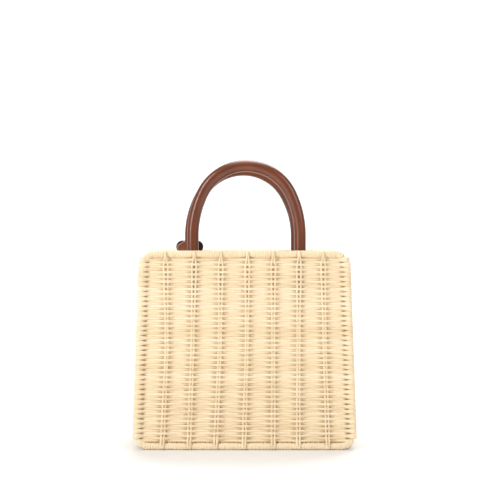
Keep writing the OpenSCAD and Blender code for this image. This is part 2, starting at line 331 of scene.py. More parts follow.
# %% [markdown]
# ## Leather
#
# The handles are vegetable-tanned calf, dyed chestnut and polished: smooth, with a low
# pebble grain and a clear finish that gives long streaks of light. One glossy layer would
# give hard streaks only, so the finish is the shader's coat over a softer skin. The dye is
# uneven, which a slow noise brings in. The tabs, their backing, the raw edges and the waxed
# thread are the same recipe with other colours and less finish. IOR 1.42 is typical of the
# oils and waxes in the skin.

# %% Leather finish
# The pores of calf are about 0.3 mm apart. That is too fine to show, so the grain is coarser.
GRAIN_W = 0.9 * MM
GRAIN_DEPTH = 0.12 * MM
GRAIN_BUMP = 0.3
GRAIN_SOFT = 0.6
DYE_W = 22 * MM
LEATHER_IOR = 1.42
FINISH_ROUGHNESS = 0.21


def leather_material(name, steps, roughness, coat):
    """Dyed leather: uneven dye, pebble grain, and a clear finish."""
    material, tree, skin = new_material(name)
    place = add_node(tree, "ShaderNodeTexCoord").outputs["Object"]
    dye = add_node(
        tree, "ShaderNodeTexNoise", {"Scale": 1 / DYE_W, "Detail": 5}, {"Vector": place}
    ).outputs["Fac"]
    grain = add_node(
        tree,
        "ShaderNodeTexVoronoi",
        {"Scale": 1 / GRAIN_W, "Smoothness": GRAIN_SOFT},
        {"Vector": place},
        feature="SMOOTH_F1",
    ).outputs["Distance"]
    colour = add_node(tree, "ShaderNodeValToRGB", links={"Fac": dye}, steps=steps)
    tree.links.new(colour.outputs["Color"], skin.inputs["Base Color"])
    bump = add_node(
        tree, "ShaderNodeBump", {"Strength": GRAIN_BUMP, "Distance": GRAIN_DEPTH}, {"Height": grain}
    )
    tree.links.new(bump.outputs["Normal"], skin.inputs["Normal"])
    skin.inputs["Roughness"].default_value = roughness
    skin.inputs["IOR"].default_value = LEATHER_IOR
    skin.inputs["Coat Weight"].default_value = coat
    skin.inputs["Coat Roughness"].default_value = FINISH_ROUGHNESS
    return material


print("grain", round(GRAIN_W / MM, 1), "mm wide, dye clouds", round(DYE_W / MM), "mm")

# %% Leather materials
# Rolled and polished: deep chestnut under bright streaks that follow the roll.
CHESTNUT = [(0.25, "#642E13"), (0.5, "#713617"), (0.75, "#7E3F1D")]
roll_leather = leather_material(
    "Calf leather, rolled and polished", CHESTNUT, roughness=0.34, coat=0.7
)

# Cut flat: handled less and hardly polished, so it is paler and has a dull sheen.
TAN = [(0.25, "#8D5238"), (0.5, "#9A5E45"), (0.75, "#A66A51")]
tab_leather = leather_material("Calf leather, cut flat", TAN, roughness=0.5, coat=0.15)

# Backing: a real layer, darker than the tab, but drawn nearly black and matt as painted shade that
# stands for the shadow beside and behind the tab, so the tab stands out from it.
NEAR_BLACK_WITH_PAINTED_SHADE = [(0.25, "#35191A"), (0.5, "#3F2020"), (0.75, "#4A2826")]
backing_with_painted_shade = leather_material(
    "Calf leather, backing layer with painted shade", NEAR_BLACK_WITH_PAINTED_SHADE, roughness=0.6, coat=0.05
)

# Waxed thread: brown like the leather and matt, so the stitches show mainly by their shape.
WAXED_BROWN = [(0.25, "#5E3A28"), (0.5, "#6F4733"), (0.75, "#80543D")]
sewing_thread = leather_material("Waxed linen thread", WAXED_BROWN, roughness=0.6, coat=0)

# Raw cut edge: the undyed inside of the hide, a pale and rough line round a tab. Part of its
# paleness is a painted highlight of an edge that catches the light.
UNDYED_WITH_PAINTED_HIGHLIGHT = [(0.3, "#AD866A"), (0.5, "#C49D82"), (0.7, "#D8B49A")]
cut_edge_with_painted_highlight = leather_material("Calf leather, raw cut edge with painted highlight", UNDYED_WITH_PAINTED_HIGHLIGHT, roughness=0.8, coat=0)

leathers = (roll_leather, tab_leather, backing_with_painted_shade, sewing_thread, cut_edge_with_painted_highlight)
print("leather materials:", " | ".join(leather.name for leather in leathers))

# %% [markdown]
# ## Woven walls
#
# The front and the rear are plain weave: each row passes in front of one pair of stakes
# and behind the next, and the next row does the opposite. A sheet with a bump would stay
# smooth along its edges and in its shadows, so each row is a strand of its own. The height of
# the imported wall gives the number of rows.

# %% Rows of a wall
ROW_PITCH = 2.36 * MM

rows = int((wall_high[2] - wall_low[2]) / ROW_PITCH)
pitch = (wall_high[2] - wall_low[2]) / rows
row_z = wall_low[2] + (np.arange(rows) + 0.5) * pitch
print(rows, "rows,", round(pitch / MM, 2), "mm apart")

# %% [markdown]
# Seven pairs of stakes part a wall into eight bays. They are set by hand, so they stand a
# little off an even spacing. The table says how far, in mm, at the foot, the middle and the
# rim, and the heights between are read off along straight lines.

# %% Places of the stakes
BAYS = 8
STAKE_DRIFT = [
    (-0.9, -1.3, -2.0, -0.7, 1.3, -0.8, 1.7),
    (1.2, 0.5, 1.5, 2.1, 2.2, 1.2, 1.2),
    (-2.7, 0.7, 1.7, 2.9, 3.3, 3.6, 1.9),
]


def stake_x(z, facing):
    """Places of the two side rods and the seven stakes between them at height z."""
    level = min(max(2 * z / rim_z, 0), 2)
    drift = [np.interp(level, (0, 1, 2), stake) * MM for stake in zip(*STAKE_DRIFT)]
    even = np.linspace(-1, 1, BAYS + 1) * side_x(ROD_R, z)
    return even - facing * np.array([0, *drift, 0])


print("front stakes at mid height, in mm:", (stake_x(rim_z / 2, -1)[1:-1] / MM).round(1).tolist())

# %% [markdown]
# A sine wave would look too soft for a weaver: stiff cane runs straight between the stakes
# and swings out only close to them, which opens a short, lens-shaped gap beside each stake.
# A power of the cosine lingers in the middle in the same way. No cane lies quite level, so a
# slow random drift is added along each strand.

# %% The wave of a weaver
WEAVER_T = 0.9 * MM
STAKE_T = 0.95 * MM
STAKE_FORWARD = 1.5 * MM
WAVE_POWER = 1.6
PRESSED_IN_FRONT = 0.3
CLEAR_BEHIND = 1.2
POINTS_PER_KNOT = 9
FEWEST_KNOTS = 4

front_swing = STAKE_T + STAKE_FORWARD - PRESSED_IN_FRONT * WEAVER_T
back_swing = STAKE_T - STAKE_FORWARD + CLEAR_BEHIND * WEAVER_T


def stake_wave(turns):
    """A cosine that lingers in the middle and swings out only near the stakes."""
    c = np.cos(math.pi * turns)
    return c * np.abs(c) ** WAVE_POWER


def swing_out(wave):
    """How far a weaver stands off the middle of the wall."""
    return np.where(wave > 0, front_swing, back_swing) * wave


def wavering(count, size):
    """A slow random drift along a strand."""
    knots = rng.normal(0, size, max(count // POINTS_PER_KNOT, FEWEST_KNOTS))
    return np.interp(np.linspace(0, 1, count), np.linspace(0, 1, len(knots)), knots)


print("swing in mm: front", round(front_swing / MM, 2), "and back", round(back_swing / MM, 2))

# %% [markdown]
# At each end of a wall, every other row goes round the outside of the frame's rod. The loops
# are part of the same strand, so no seam shows. They run on into the bends of the rod, and
# the last few rows end inside the wrapping.

# %% Loops round the side rods
PLAIN_ROD_R = 2.3 * MM
LOOPS_INTO_RIM = 45
LOOPS_INTO_FOOT = 25
LOOP_TURNS = np.radians(np.linspace(12, 150, 9))
LOOP_NARROWS = 0.5
NARROWS_FROM = 1.4
NARROWS_OVER = 1.2

loop_r = PLAIN_ROD_R + WEAVER_T
loop_low = foot_arc_z - bend_r * math.sin(math.radians(LOOPS_INTO_FOOT))
loop_high = rim_arc_z + bend_r * math.sin(math.radians(LOOPS_INTO_RIM))


def smooth(t):
    """0 below 0, 1 above 1, and a soft S between."""
    t = np.clip(t, 0, 1)
    return t * t * (3 - 2 * t)


def rod_loop(end, reach, z, facing):
    """Points round the outside of the left (end -1) or the right rod (end 1)."""
    return np.stack(
        [
            end * (reach + loop_r * bend_stretch(z) * np.sin(LOOP_TURNS)),
            facing * (wall_y + loop_r * np.cos(LOOP_TURNS)),
            np.full(len(LOOP_TURNS), z),
        ],
        -1,
    )


def with_loops(path, half, reach, z, facing):
    """A row's points and half widths, carried on round both rods and narrowed there."""
    narrow = 1 - LOOP_NARROWS * smooth((LOOP_TURNS - NARROWS_FROM) / NARROWS_OVER)
    spread = half[0] * narrow
    left, right = [rod_loop(end, reach, z, facing) for end in (-1, 1)]
    path = np.concatenate([left[::-1], path, right])
    return path, np.concatenate([spread[::-1], half, spread])


print("loops from", round(loop_low / MM, 1), "to", round(loop_high / MM, 1), "mm")

# %% [markdown]
# A row is narrower where it is bent over a stake and spreads where it goes round a rod. The
# rows that pass behind a rod are pinched there, which opens a dark notch beside it. Under the
# rim, a straight strand behind the stakes fills the slit that is left.

# %% Weavers of a wall
SAMPLES_PER_BAY = 10
WEAVER_FILL = 1.2
BENT_NARROWS = 0.15
ROW_DRIFT = 0.1 * MM
LOOP_RAMP = 9 * MM
LOOP_SPREAD = 1.2
ROD_PINCH = 0.6
FILLER_RISE = 0.8
FILLER_BACK = 0.6 * MM
FILLER_POINTS = 20


def wall_row(i, z, facing):
    """One weaver across a wall that faces -Y (facing -1) or +Y (facing 1)."""
    reach = frame_x(z)
    loops = loop_low < z < loop_high
    sign = 1 if i % 2 == 0 else -1
    x = np.linspace(-reach, reach, BAYS * SAMPLES_PER_BAY + 1)
    wave = sign * stake_wave(np.interp(x, stake_x(z, facing), np.arange(BAYS + 1)))
    near_rod = smooth(1 - (reach - np.abs(x)) / LOOP_RAMP) * loops
    y = wall_y + swing_out(wave) * (1 - near_rod) + loop_r * wave * near_rod
    path = np.stack([x, facing * y, z + wavering(len(x), ROW_DRIFT)], -1)
    half = pitch / 2 * (WEAVER_FILL - BENT_NARROWS * np.maximum(wave, 0))
    if sign < 0:
        half = half * (1 - ROD_PINCH * near_rod)
    elif loops:
        half = half * (1 + LOOP_SPREAD * near_rod**2)
        path, half = with_loops(path, half, reach, z, facing)
    return sweep(path, half, WEAVER_T, (0, 0, 1))


def filler_row(facing):
    """A straight strand under the rim, set back behind the stakes."""
    z = row_z[-1] + FILLER_RISE * pitch
    x = np.linspace(-1, 1, FILLER_POINTS) * frame_x(z)
    y = facing * (wall_y - FILLER_BACK)
    path = np.stack([x, np.full(FILLER_POINTS, y), np.full(FILLER_POINTS, z)], -1)
    return sweep(path, pitch / 2 * WEAVER_FILL, WEAVER_T, (0, 0, 1))


print("weavers", round(2 * WEAVER_T / MM, 1), "by", round(pitch * WEAVER_FILL / MM, 1), "mm")

# %% [markdown]
# The stakes are pairs of thin rods. They stand apart under the rim and close up lower down.
# Their ends come out in front of the frame's bars, where they lean together, thin out and
# sink into the winding. A side view of one stake, as depth and height, serves them all.

# %% Side view of a stake
LAID_T = 0.6 * MM
RIM_STAND_OFF = 0.35 * MM
FOOT_TURNS = np.radians(np.linspace(-30, 25, 7))
RIM_TURNS = np.radians(np.linspace(-25, 60, 12))
SINKS_FROM = 0.45
SINKS_OVER = 0.6
BENT_ROWS = 3
STRAIGHT_POINTS = 24


def stake_side_view():
    """Depth and height along a stake, over the foot bar, through the weave and onto the rim."""
    over = ROD_R + LAID_T
    foot = np.stack([over * np.cos(FOOT_TURNS), foot_rod_z + over * np.sin(FOOT_TURNS)], -1)
    sink = (RIM_STAND_OFF + 2 * LAID_T) * smooth((RIM_TURNS - SINKS_FROM) / SINKS_OVER)
    rim_r = over + RIM_STAND_OFF - sink
    rim = np.stack([rim_r * np.cos(RIM_TURNS), rim_rod_z + rim_r * np.sin(RIM_TURNS)], -1)
    bent = BENT_ROWS * pitch
    inside_z = np.linspace(wall_low[2] + bent, wall_high[2] - bent, STRAIGHT_POINTS)
    inside = np.stack([np.full(STRAIGHT_POINTS, STAKE_FORWARD), inside_z], -1)
    return np.concatenate([foot, inside, rim])


stake_line = stake_side_view()
print("a stake ends at", round(stake_line[-1, 1] / MM, 1), "mm, near the top of the rim")

# %% [markdown]
# The gaps are in mm between the two middles of a pair, at shares of the basket's height. Their
# ends shrink to a point, which hides the end caps in the winding.

# %% Paired stakes
STAKE_R = 1.05 * MM
STAKE_GAPS = [(0.05, 3.1), (0.4, 2.3), (0.65, 2.3), (0.93, 4.3)]
RIM_GAP = 0.9 * MM
FOOT_GAP = 0.9 * MM
RIM_TAPER = 0.45
END_TAPER = 0.02
LEAN_BELOW_RIM = 4 * MM


def stake_pair(k, facing):
    """Two rods through the weave, laid over the foot bar and the rim bar."""
    depth, z = stake_line.T
    on_rim = smooth((z - wall_high[2] + LEAN_BELOW_RIM) / (rim_z - wall_high[2]))
    gap = np.interp(z / rim_z, *zip(*STAKE_GAPS)) * MM
    gap += (RIM_GAP - gap) * on_rim
    gap += (FOOT_GAP - gap) * smooth((wall_low[2] - z) / wall_low[2])
    middle = np.array([stake_x(h, facing)[k] for h in z])
    taper = 1 - RIM_TAPER * on_rim
    taper[[0, -1]] = END_TAPER
    thick = np.where(depth < ROD_R / 2, STAKE_T, LAID_T)
    pair = []
    for side in (-0.5, 0.5):
        path = np.stack([middle + side * gap, facing * (wall_y + depth), z], -1)
        pair.append(sweep(path, STAKE_R * taper, thick * taper, (1, 0, 0)))
    return pair


for place, facing in (("front", -1), ("rear", 1)):
    weavers = [wall_row(i, z, facing) for i, z in enumerate(row_z)] + [filler_row(facing)]
    weave = strand_piece(place + "_weavers", weavers, weaver_cane)
    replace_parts(weave, place + "_weave")
    pairs = sum([stake_pair(k, facing) for k in range(1, BAYS)], [])
    strand_piece(place + "_stakes", pairs, weaver_cane)

# %% [markdown]
# ## Gusset
#
# The sides and the base are one narrow strip of the same weave, from the front frame to the
# rear frame. On the sides its rows lie at the height of the walls' rows, so that a weaver
# seems to run on round the corner. Each row is the same wave turned to run along Y, so one
# function makes it from the point where it sits and the direction that faces out.

# %% A row of the gusset
SIDE_BAYS = 4
SIDE_SAMPLES = 12
SIDE_DRIFT = 0.08 * MM

gusset_reach = wall_y - PLAIN_ROD_R


def gusset_row(i, x, z, out_x, out_z):
    """One weaver from the front frame to the rear frame through (x, z)."""
    sign = 1 if i % 2 == 0 else -1
    y = np.linspace(-gusset_reach, gusset_reach, SIDE_BAYS * SIDE_SAMPLES + 1)
    wave = sign * stake_wave((y / wall_y + 1) * SIDE_BAYS / 2)
    swung = swing_out(wave)
    drift = wavering(len(y), SIDE_DRIFT)
    path = np.stack(
        [x + out_x * swung - out_z * drift, y, z + out_z * swung + out_x * drift], -1
    )
    return sweep(path, pitch / 2 * WEAVER_FILL, WEAVER_T, (-out_z, 0, out_x))


print("gusset rows are", round(2 * gusset_reach / MM, 1), "mm long")

# %% [markdown]
# The strip goes straight up each side and round the corners at the foot. The rows of a corner
# are shared out at an angle where the side hands over to the base.

# %% Places of the gusset's rows
RAIL_CLEAR = 3.9 * MM
HAND_OVER_DEG = 48

rail_low, rail_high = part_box("right_top_rail")
rail_x, rail_z = (rail_low[0] + rail_high[0]) / 2, (rail_low[2] + rail_high[2]) / 2


def side_point(z):
    """Place and outward direction on the centre line of the right side rod."""
    return side_x(ROD_R, z), z, math.cos(slant), math.sin(slant)


def corner_point(angle):
    """Place and outward direction round the right foot corner, in degrees from +X."""
    out_x, out_z = math.cos(math.radians(angle)), math.sin(math.radians(angle))
    return foot_arc_x + bend_r * out_x, foot_arc_z + bend_r * out_z, out_x, out_z


row_angle = math.degrees(pitch / bend_r)
straight_z = [z for z in row_z if foot_arc_z < z < rail_z - RAIL_CLEAR]
first_row = list(row_z).index(straight_z[0])
corner_angles = np.arange(0, HAND_OVER_DEG, row_angle)
print(len(straight_z), "straight rows on a side and", len(corner_angles), "round its corner")

# %% Left and right side


def side_stations():
    """Row numbers with places and directions, from the foot corner up to the rail."""
    for n, angle in enumerate(corner_angles):
        yield first_row - 1 - n, *corner_point(-angle)
    for n, z in enumerate(straight_z):
        yield first_row + n, *side_point(z)


for place, turn in (("left", -1), ("right", 1)):
    weavers = [
        gusset_row(i, turn * x, z, turn * out_x, out_z)
        for i, x, z, out_x, out_z in side_stations()
    ]
    weave = strand_piece(place + "_side_weavers", weavers, gusset_cane)
    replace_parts(weave, place + "_side_weave")

# %% [markdown]
# The base carries the strip on between the two foot corners. The stakes of the gusset run
# down one side, across the base and up the other, three long rods bent twice.

# %% Base rows
flat_x = np.arange(-foot_arc_x, foot_arc_x, pitch)
base_weavers = [gusset_row(n, x, foot_rod_z, 0, -1) for n, x in enumerate(flat_x)]
for turn in (-1, 1):
    for n, angle in enumerate(np.arange(90, HAND_OVER_DEG, -row_angle)[1:]):
        x, z, out_x, out_z = corner_point(-angle)
        base_weavers.append(gusset_row(n, turn * x, z, turn * out_x, out_z))
base = strand_piece("base_weavers", base_weavers, gusset_cane)
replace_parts(base, "base_weave")

# %% Gusset stakes
GUSSET_STAKE_R = STAKE_R * 1.3
SIDE_STAKE_POINTS = 30
CORNER_STAKE_ANGLES = np.linspace(8, 90, 12)


def gusset_stake(y):
    """A rod that follows the gusset from rail to rail."""
    heights = np.linspace(rail_z - RAIL_CLEAR, foot_arc_z, SIDE_STAKE_POINTS)
    half = [side_point(z)[:2] for z in heights]
    half += [corner_point(-a)[:2] for a in CORNER_STAKE_ANGLES]
    points = [(x, y, z) for x, z in half] + [(-x, y, z) for x, z in half[::-1]]
    return sweep(points, GUSSET_STAKE_R, STAKE_T, (0, 1, 0))


strand_piece(
    "gusset_stakes",
    [gusset_stake((2 * k / SIDE_BAYS - 1) * wall_y) for k in range(1, SIDE_BAYS)],
    gusset_cane,
)

# %% [markdown]
# ## Wrapped rods
#
# The rim, the foot and their corners are rods wound with fine split cane. Winding a real
# helix would need over half a million faces. A tube whose radius rises and falls once per
# turn, with its rings slanted by one turn's advance, shows the same ridges for a tenth of
# that. The rods up the sides are plain, because the weavers loop round them.

# %% Wound tube
# Real winding is flatter and may be finer. It is drawn deep and coarse enough to show.
WRAP_PITCH = 2.5 * MM
WRAP_RISE = 0.9 * MM
WRAP_END = 1.8 * MM
WRAP_UNEVEN = 0.25
RIDGE_POWER = 0.6
SPARE_WRAPS = 3
RINGS_PER_WRAP = 8
WRAP_SIDES = 20


def wound_tube(corner_points, radius, across, end_r=None):
    """A tube along a polyline, ridged by the winding, whose ends may close to a thinner rod."""
    corner_points = np.asarray(corner_points, float)
    lengths = np.linalg.norm(np.diff(corner_points, axis=0), axis=1)
    travel = np.concatenate([[0], np.cumsum(lengths)])
    wraps = int(travel[-1] / WRAP_PITCH)
    stations = np.linspace(0, travel[-1], wraps * RINGS_PER_WRAP + 1)
    path = np.stack([np.interp(stations, travel, corner_points[:, c]) for c in range(3)], -1)
    along = np.gradient(path, axis=0)
    along /= np.linalg.norm(along, axis=1)[:, None]
    across = np.broadcast_to(np.asarray(across, float), path.shape)
    out = np.cross(along, across)
    turn = np.arange(WRAP_SIDES) * 2 * math.pi / WRAP_SIDES
    phase = stations[:, None] / WRAP_PITCH + turn[None, :] / (2 * math.pi)
    uneven = 1 - WRAP_UNEVEN * rng.random(wraps + SPARE_WRAPS)[phase.astype(int)]
    ridge = WRAP_RISE * uneven * np.abs(np.sin(math.pi * phase)) ** RIDGE_POWER
    r = radius - WRAP_RISE + ridge
    if end_r:
        full = smooth(np.minimum(stations, travel[-1] - stations) / WRAP_END)[:, None]
        r = end_r + (r - end_r) * full
    ring = (
        np.cos(turn)[None, :, None] * across[:, None, :]
        + np.sin(turn)[None, :, None] * out[:, None, :]
    )
    verts = path[:, None, :] + r[:, :, None] * ring
    return verts.reshape(-1, 3), tube_faces(len(path), WRAP_SIDES)


print("one turn of the winding every", round(WRAP_PITCH / MM, 1), "mm")

# %% [markdown]
# Each bar takes the bends at both of its ends with it, up to the angle where the loops of the
# weave begin. The plain side rods run between them.

# %% Frames
BEND_POINTS = 14
PLAIN_ROD_SIDES = 14


def bar_line(arc_x, arc_z, start, end, y):
    """Polyline along one bar of the frame with the bends at both of its ends."""
    bend = np.radians(np.linspace(start, end, BEND_POINTS))
    right = [(arc_x + bend_r * math.cos(a), y, arc_z + bend_r * math.sin(a)) for a in bend]
    left = [(-x, y, z) for x, y, z in right[::-1]]
    return right + left


slant_deg = math.degrees(slant)
for place, facing in (("front", -1), ("rear", 1)):
    y = facing * wall_y
    rim_line = bar_line(rim_arc_x, rim_arc_z, LOOPS_INTO_RIM, 90, y)
    foot_line = bar_line(foot_arc_x, foot_arc_z, -LOOPS_INTO_FOOT, -90, y)
    bars = [wound_tube(line, ROD_R, (0, 1, 0), PLAIN_ROD_R) for line in (rim_line, foot_line)]
    low_bend = bar_line(foot_arc_x, foot_arc_z, -LOOPS_INTO_FOOT, slant_deg, y)[:BEND_POINTS]
    high_bend = bar_line(rim_arc_x, rim_arc_z, slant_deg, LOOPS_INTO_RIM, y)[:BEND_POINTS]
    for turn in (-1, 1):
        line = [(turn * x, y, z) for x, y, z in low_bend + high_bend]
        bars.append(sweep(line, PLAIN_ROD_R, PLAIN_ROD_R, (0, 1, 0), PLAIN_ROD_SIDES))
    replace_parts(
        strand_piece(place + "_frame_rods", bars, wrap_cane), place + "_frame"
    )

# %% Rails
RAIL_POINTS = 20

rail_r = (rail_high[2] - rail_low[2]) / 2
rail_y = np.linspace(rail_low[1], rail_high[1], RAIL_POINTS)
for place, turn in (("left", -1), ("right", 1)):
    line = [(turn * rail_x, y, rail_z) for y in rail_y]
    rail = strand_piece(
        place + "_wound_rail", [wound_tube(line, rail_r, (1, 0, 0))], wrap_cane
    )
    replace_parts(rail, place + "_top_rail")

# %% [markdown]
# ## Handles
#
# Each handle is one piece of leather: a flat tongue sewn to its tab, a throat where the
# tongue closes to a roll, the leg, the crown, and the same again on the far side. Separate
# tubes would show a seam at each change, so it is one swept mesh with a ring that changes from
# flat to round. Its middle follows a straight leg, a wide arc and a tighter arc over the crown.

# %% Handle centre line
CROWN_SHARE = 0.91
LEG_RISE = 14 * MM
CROWN_R = 6.0 * MM
THROAT_TOP = 8 * MM
LEG_POINTS = 14
FLANK_POINTS = 14
CROWN_POINTS = 34


def handle_line(half_span, top_z):
    """Points (x, z) of the right half of a handle, from its leg's foot to the crown."""
    crown = CROWN_SHARE * half_span
    rise = top_z - CROWN_R - crown - rim_z - LEG_RISE
    flank = (half_span**2 + rise**2 - crown**2) / (2 * (half_span - crown))
    tangent = math.atan2(rise, flank - half_span)
    leg = np.linspace(rim_z - THROAT_TOP, rim_z + LEG_RISE, LEG_POINTS)[:-1]
    points = [(half_span, z) for z in leg]
    for a in np.linspace(0, tangent, FLANK_POINTS)[:-1]:
        x = half_span - flank + flank * math.cos(a)
        points.append((x, rim_z + LEG_RISE + flank * math.sin(a)))
    for a in np.linspace(tangent, math.pi / 2, CROWN_POINTS):
        points.append((crown * math.cos(a), top_z - CROWN_R - crown + crown * math.sin(a)))
    return points


print("the arcs begin", round(LEG_RISE / MM, 1), "mm above the rim")

# %% [markdown]
# A station is one ring to be: its centre, its two half sizes, and how far the tongue has closed
# to a roll there, from 0 for flat to 1 for round.

# %% Stations of a handle
LEG_R = 5.7 * MM
TONGUE_W = 15 * MM
TONGUE_T = 3.2 * MM
THROAT_H = 16 * MM
TONGUE_POINTS = 40
TIP_WIDTH_SQUARED = 0.02


def tongue_stations(half_span, leg_y, tab_face, tongue_low):
    """Stations of the right tongue and its throat, from the round lower end up."""
    stations = []
    toward = -math.copysign(1, tab_face)
    flat_y = tab_face + toward * TONGUE_T / 2
    for z in np.linspace(tongue_low, rim_z - THROAT_TOP, TONGUE_POINTS)[:-1]:
        close = float(smooth((z - (rim_z - THROAT_TOP - THROAT_H)) / THROAT_H))
        below = max(0, 1 - (z - tongue_low) / (TONGUE_W / 2))
        end = math.sqrt(max(1 - below**2, TIP_WIDTH_SQUARED))
        thick = TONGUE_T / 2 + (LEG_R - TONGUE_T / 2) * close
        wide = (TONGUE_W / 2 + (LEG_R - TONGUE_W / 2) * close) * end
        stations.append((half_span, flat_y + (leg_y - flat_y) * close, z, wide, thick, close))
    return stations


def handle_rings(left_x, right_x, leg_y, tab_face, tongue_low, top_z):
    """Stations of a whole handle: centre, half sizes and roundness of each ring."""
    half_span, middle = (right_x - left_x) / 2, (left_x + right_x) / 2
    stations = tongue_stations(half_span, leg_y, tab_face, tongue_low)
    for x, z in handle_line(half_span, top_z):
        grow = smooth((z - rim_z) / (top_z - rim_z))
        r = LEG_R + (CROWN_R - LEG_R) * float(grow)
        stations.append((x, leg_y, z, r, r, 1.0))
    mirrored = [(-x, *rest) for x, *rest in stations[-2::-1]]
    return [(middle + x, *rest) for x, *rest in stations + mirrored]


print("tongue", round(TONGUE_W / MM), "mm wide, roll", round(2 * LEG_R / MM, 1), "mm thick")

# %% [markdown]
# Stitches are short pieces of waxed thread, sunk a little into the leather at both ends. A bump
# would vanish from the side, so each stitch is a small swept strand.

# %% Stitches
STITCH_MM = 3.0
STITCH_GAP_MM = 1.2
THREAD_R = 0.35 * MM
THREAD_SIDES = 6
STITCH_SWELL = np.array([0.25, 0.85, 1.0, 0.85, 0.25])
# Very nearly Y: no stitch runs along this direction, so its rings stay round.
THREAD_ACROSS = (0, 1, 0.02)


def stitch_row(line, length_mm, gap_mm):
    """Short sunk stitches along a polyline."""
    travel = np.concatenate([[0], np.cumsum(np.linalg.norm(np.diff(line, axis=0), axis=1))])
    swell = STITCH_SWELL * THREAD_R
    stitches = []
    for start in np.arange(0, travel[-1] - length_mm * MM, (length_mm + gap_mm) * MM):
        stations = start + np.linspace(0, length_mm * MM, len(swell))
        path = np.stack([np.interp(stations, travel, line[:, c]) for c in range(3)], -1)
        stitches.append(sweep(path, swell, swell, THREAD_ACROSS, THREAD_SIDES))
    return stitches


print("stitches", STITCH_MM, "mm long,", STITCH_GAP_MM, "mm apart")

# %% [markdown]
# A ring with soft corners is a circle whose sine and cosine are raised to a power: well below
# one it is almost a box, and at one it is round. The edges of the roll meet in a groove along
# its inner side, and the stitches run beside the groove.

# %% Leather of a handle
FLAT_POWER = 0.45
SEAM_DEPTH = 0.6 * MM
SEAM_HALF_DEG = 5
STITCH_DEG = 24
ROLL_TURNS = np.radians([*range(0, 175, 10), 175, 180, 185, *range(190, 360, 10)])


def handle_mesh(stations, inward):
    """Rings along the stations, and a row of stitches.

    The stitches lie on the side of the groove that faces the middle of the bag."""
    path = np.array([s[:3] for s in stations])
    along = np.gradient(path, axis=0)
    along /= np.linalg.norm(along, axis=1)[:, None]
    across = np.cross((0.0, 1.0, 0.0), along)
    across /= np.linalg.norm(across, axis=1)[:, None]
    deep = np.cross(along, across)
    cos, sin = np.cos(ROLL_TURNS), np.sin(ROLL_TURNS)
    seam = np.abs(np.degrees(ROLL_TURNS) - 180) < SEAM_HALF_DEG / 2
    a = math.pi + inward * math.radians(STITCH_DEG)
    rings, line = [], []
    for n, (_, _, _, wide, thick, close) in enumerate(stations):
        power = FLAT_POWER + (1 - FLAT_POWER) * close
        c = np.sign(cos) * np.abs(cos) ** power
        d = np.sign(sin) * np.abs(sin) ** power
        c = c * (1 - SEAM_DEPTH / wide * close * seam)
        rings.append(path[n] + wide * c[:, None] * across[n] + thick * d[:, None] * deep[n])
        if close == 1:
            line.append(path[n] + wide * (math.cos(a) * across[n] + math.sin(a) * deep[n]))
    leather = np.concatenate(rings), tube_faces(len(stations), len(ROLL_TURNS))
    return leather, stitch_row(np.array(line), STITCH_MM, STITCH_GAP_MM)


print(len(ROLL_TURNS), "points on each ring of a handle")

# %% [markdown]
# Two pieces would part at the flex line just above the rim, so the leather is one mesh from
# tongue to tongue. It rides on no body, and its place is baked into its points.

for place, facing in (("front", -1), ("rear", 1)):
    left_low, left_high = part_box(place + "_left_leg_end")
    right_low, right_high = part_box(place + "_right_leg_end")
    tab_low, tab_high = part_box(place + "_left_tab")
    cover_low, cover_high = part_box(place + "_handle_cover")
    leg_y = (cover_low[1] + cover_high[1]) / 2
    stations = handle_rings(
        left_x=(left_low[0] + left_high[0]) / 2,
        right_x=(right_low[0] + right_high[0]) / 2,
        leg_y=leg_y,
        tab_face=tab_high[1] if facing < 0 else tab_low[1],
        tongue_low=left_low[2],
        top_z=cover_high[2],
    )
    leather, stitches = handle_mesh(stations, facing)
    roll = strand_piece(
        place + "_rolled_handle",
        [leather],
        roll_leather,
        None,
        stitches,
        sewing_thread,
    )
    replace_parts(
        roll,
        place + "_handle_cover",
        place + "_handle_core",
        place + "_left_leg_end",
        place + "_right_leg_end",
    )
    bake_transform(roll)

# %% [markdown]
# ## Tabs
#
# Inside the walls, each tongue is sewn to a tab, and a darker layer with a round head lies
# behind the tab against the cane. That layer's near-black is partly painted shade: where the
# steep flank leaves it bare, it stands for the shadow beside the tab. The tab's own head is cut
# slantwise, long on the outer side and steep on the inner one. A box with a bevel couldn't
# follow such an outline, so it is drawn as points. The two lists give the slanted head's flanks
# in mm from the middle of its top.

# %% Outline of a layer
TAB_HEAD_W = 28.6 * MM
TAB_HEAD_H = 13 * MM
TAB_W = 25 * MM
TAB_CORNER_R = 6 * MM
STEEP_FLANK = [(3.5, -0.4), (8.8, -10.5), (12.5, -17.0)]
LONG_FLANK = [(-12.5, -14.0), (-13.9, -8.0), (-14.1, -5.2), (-7.0, -0.5), (-3.5, -0.4)]
FOOT_ARC_POINTS = 12
HEAD_ARC_POINTS = 22


